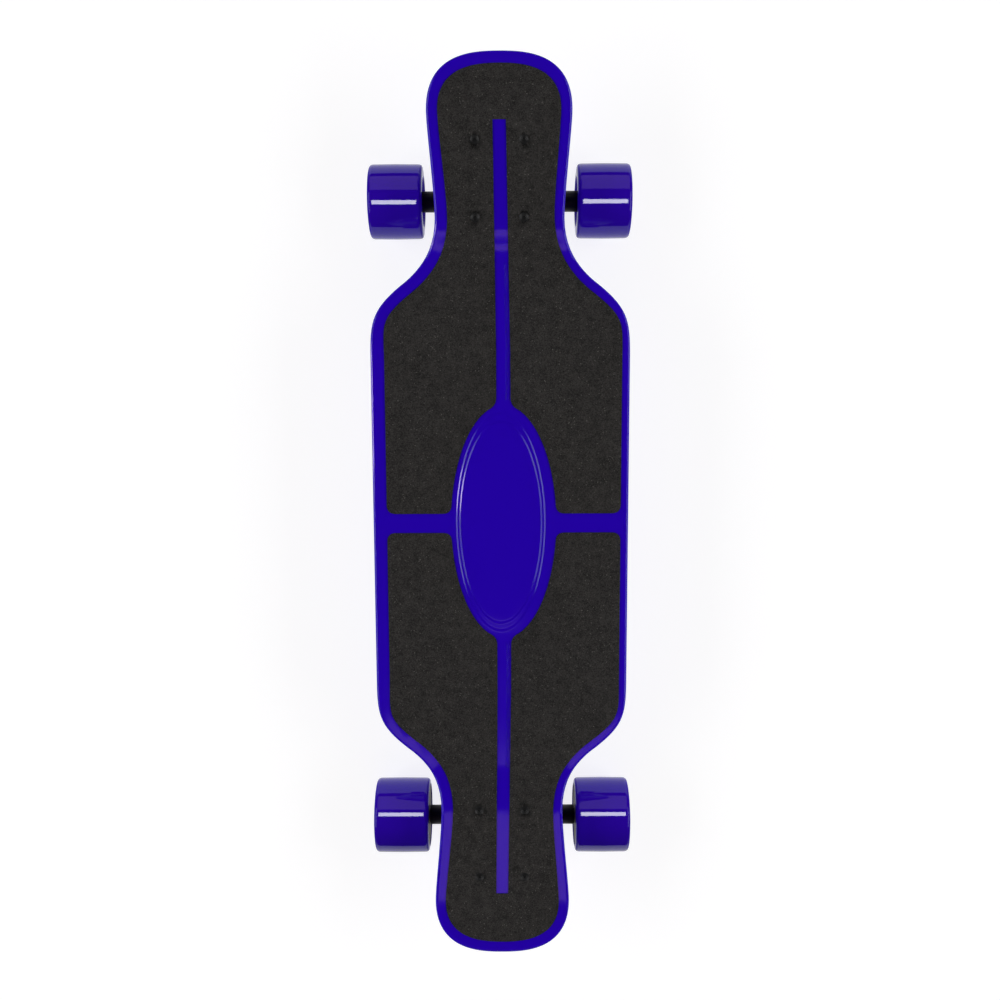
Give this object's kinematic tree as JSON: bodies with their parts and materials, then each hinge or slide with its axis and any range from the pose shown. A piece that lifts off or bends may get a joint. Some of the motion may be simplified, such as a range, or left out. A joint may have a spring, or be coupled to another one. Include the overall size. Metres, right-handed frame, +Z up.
{
  "type": "electric skateboard",
  "caption": "Electric skateboard with a waisted deck, gripped top with a raised oval pad, steering trucks, rear hub motors and an underside battery box.",
  "frame": {"origin": "on the ground, midway between the two trucks and the two sides", "axes": "+Y towards the nose, +X to the rider's right when facing the nose, +Z up"},
  "size_m": [0.243, 0.79, 0.114],
  "materials": {
    "deck": "glossy",
    "grip": "gritty matt",
    "truck": "satin",
    "steel": "satin",
    "bolt": "satin",
    "bushing": "satin",
    "urethane": "glossy",
    "core": "matt",
    "motor_shell": "anodised",
    "magnet": "plated",
    "laminations": "matt",
    "copper": "enamelled",
    "box": "fine texture",
    "gasket": "matt",
    "insert": "plain",
    "cell": "shrink sleeve",
    "board": "solder mask",
    "capacitor": "sleeve",
    "lead": "smooth",
    "button": "glossy",
    "cable": "smooth"
  },
  "bodies": {
    "board": {"deck": "deck", "grip_front": "grip", "grip_rear": "grip", "risers": "bushing", "baseplate_front": "truck", "baseplate_rear": "truck", "pivot_cups": "bushing", "kingpins": "steel", "kingpin_nuts": "steel", "cup_washers": "steel", "bushing_upper_front": "bushing", "bushing_lower_front": "bushing", "bushing_upper_rear": "bushing", "bushing_lower_rear": "bushing", "truck_bolts": "bolt", "truck_nuts": "steel", "enclosure": "box", "gasket": "gasket", "enclosure_screws": "bolt", "inserts": "insert", "battery_cells": "cell", "cell_strips": "steel", "bms_board": "board", "controller_board": "board", "heat_plate": "motor_shell", "capacitors": "capacitor", "receiver_board": "board", "battery_leads": "lead", "charge_socket": "box", "button_housing": "box", "cable_grommets": "gasket"},
    "front_truck": {"hanger_front": "truck", "axle_front": "steel", "axle_nuts": "steel", "axle_washers": "steel", "axle_spacers": "steel"},
    "rear_truck": {"hanger_rear": "truck", "axle_rear": "steel", "stator_left": "laminations", "stator_right": "laminations", "windings": "copper", "motor_cables": "cable"},
    "wheel_front_left": {"tyre_front_left": "urethane", "core_front_left": "core", "bearings_front_left": "steel"},
    "wheel_front_right": {"tyre_front_right": "urethane", "core_front_right": "core", "bearings_front_right": "steel"},
    "wheel_rear_left": {"tyre_rear_left": "urethane", "rotor_left": "motor_shell", "magnets_left": "magnet", "motor_cover_left": "motor_shell", "motor_bearings_left": "steel"},
    "wheel_rear_right": {"tyre_rear_right": "urethane", "rotor_right": "motor_shell", "magnets_right": "magnet", "motor_cover_right": "motor_shell", "motor_bearings_right": "steel"},
    "port_flap": {"port_cap": "gasket"},
    "button": {"power_button": "button"}
  },
  "joints": [
    {"name": "front_steer", "type": "hinge", "parent": "board", "child": "front_truck", "pos_m": [0, 0.2669, 0.055], "axis": [0, 0.9181, 0.3964], "range_deg": [-12, 12], "stiffness_Nm_per_rad": 60, "deforming": ["bushing_upper_front", "bushing_lower_front"]},
    {"name": "rear_steer", "type": "hinge", "parent": "board", "child": "rear_truck", "pos_m": [0, -0.2669, 0.055], "axis": [0, -0.9181, 0.3964], "range_deg": [-12, 12], "stiffness_Nm_per_rad": 60, "deforming": ["bushing_upper_rear", "bushing_lower_rear", "motor_cables"]},
    {"name": "spin_front_left", "type": "hinge", "parent": "front_truck", "child": "wheel_front_left", "pos_m": [-0.093, 0.285, 0.033], "axis": [1, 0, 0], "continuous": true},
    {"name": "spin_front_right", "type": "hinge", "parent": "front_truck", "child": "wheel_front_right", "pos_m": [0.093, 0.285, 0.033], "axis": [1, 0, 0], "continuous": true},
    {"name": "spin_rear_left", "type": "hinge", "parent": "rear_truck", "child": "wheel_rear_left", "pos_m": [-0.0955, -0.2935, 0.0355], "axis": [1, 0, 0], "continuous": true},
    {"name": "spin_rear_right", "type": "hinge", "parent": "rear_truck", "child": "wheel_rear_right", "pos_m": [0.0955, -0.2935, 0.0355], "axis": [1, 0, 0], "continuous": true},
    {"name": "cap_hinge", "type": "hinge", "parent": "board", "child": "port_flap", "pos_m": [0.0686, -0.1165, 0.0715], "axis": [0, 0, 1], "range_deg": [0, 110]},
    {"name": "button_press", "type": "slide", "parent": "board", "child": "button", "axis": [-1, 0, 0], "range_m": [0, 0.0012], "stiffness_N_per_m": 800}
  ]
}
